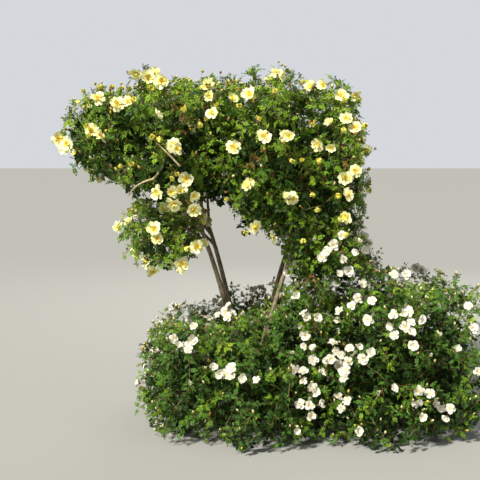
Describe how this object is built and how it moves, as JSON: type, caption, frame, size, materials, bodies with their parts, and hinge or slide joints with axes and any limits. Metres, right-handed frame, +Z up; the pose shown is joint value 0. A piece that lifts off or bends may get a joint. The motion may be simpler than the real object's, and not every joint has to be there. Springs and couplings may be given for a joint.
{
  "type": "rose bush",
  "caption": "Large shrub rose grown as one clump: canes arch into a wide flowering crown above an open gap, over a low leafy mound with small flowers.",
  "frame": {"origin": "middle of the flat cut under the cane base, at ground level", "axes": "+Z up, -Y the front, +X the right, where the low mound spreads furthest"},
  "size_m": [2.5233, 1.5921, 2.1606],
  "materials": {
    "bark": "rough grey-brown bark",
    "foliage": "matt green leaves"
  },
  "bodies": {
    "root": {"cane_base": "bark", "main_cane_left_front": "bark", "main_cane_right_front": "bark", "main_cane_left_back": "bark", "main_cane_right_back": "bark", "bough_crown_1_front": "bark", "bough_crown_2_front": "bark", "bough_crown_3_front": "bark", "bough_crown_4_front": "bark", "bough_crown_5_front": "bark", "bough_crown_1_back": "bark", "bough_crown_2_back": "bark", "bough_crown_3_back": "bark", "bough_crown_4_back": "bark", "bough_crown_5_back": "bark", "bough_hanging_front": "bark", "bough_hanging_back": "bark", "bough_shoulder_front": "bark", "bough_shoulder_back": "bark", "low_cane_mound_1_front": "bark", "low_cane_mound_2_front": "bark", "low_cane_mound_3_front": "bark", "low_cane_mound_4_front": "bark", "low_cane_mound_5_front": "bark", "low_cane_mound_1_back": "bark", "low_cane_mound_2_back": "bark", "low_cane_mound_3_back": "bark", "low_cane_mound_4_back": "bark", "low_cane_mound_5_back": "bark", "foliage_crown_1_front": "foliage", "foliage_crown_2_front": "foliage", "foliage_crown_3_front": "foliage", "foliage_crown_4_front": "foliage", "foliage_crown_5_front": "foliage", "foliage_crown_1_back": "foliage", "foliage_crown_2_back": "foliage", "foliage_crown_3_back": "foliage", "foliage_crown_4_back": "foliage", "foliage_crown_5_back": "foliage", "foliage_hanging_front": "foliage", "foliage_hanging_back": "foliage", "foliage_shoulder_front": "foliage", "foliage_shoulder_back": "foliage", "foliage_mound_1_front": "foliage", "foliage_mound_2_front": "foliage", "foliage_mound_3_front": "foliage", "foliage_mound_4_front": "foliage", "foliage_mound_5_front": "foliage", "foliage_mound_1_back": "foliage", "foliage_mound_2_back": "foliage", "foliage_mound_3_back": "foliage", "foliage_mound_4_back": "foliage", "foliage_mound_5_back": "foliage"}
  },
  "joints": []
}
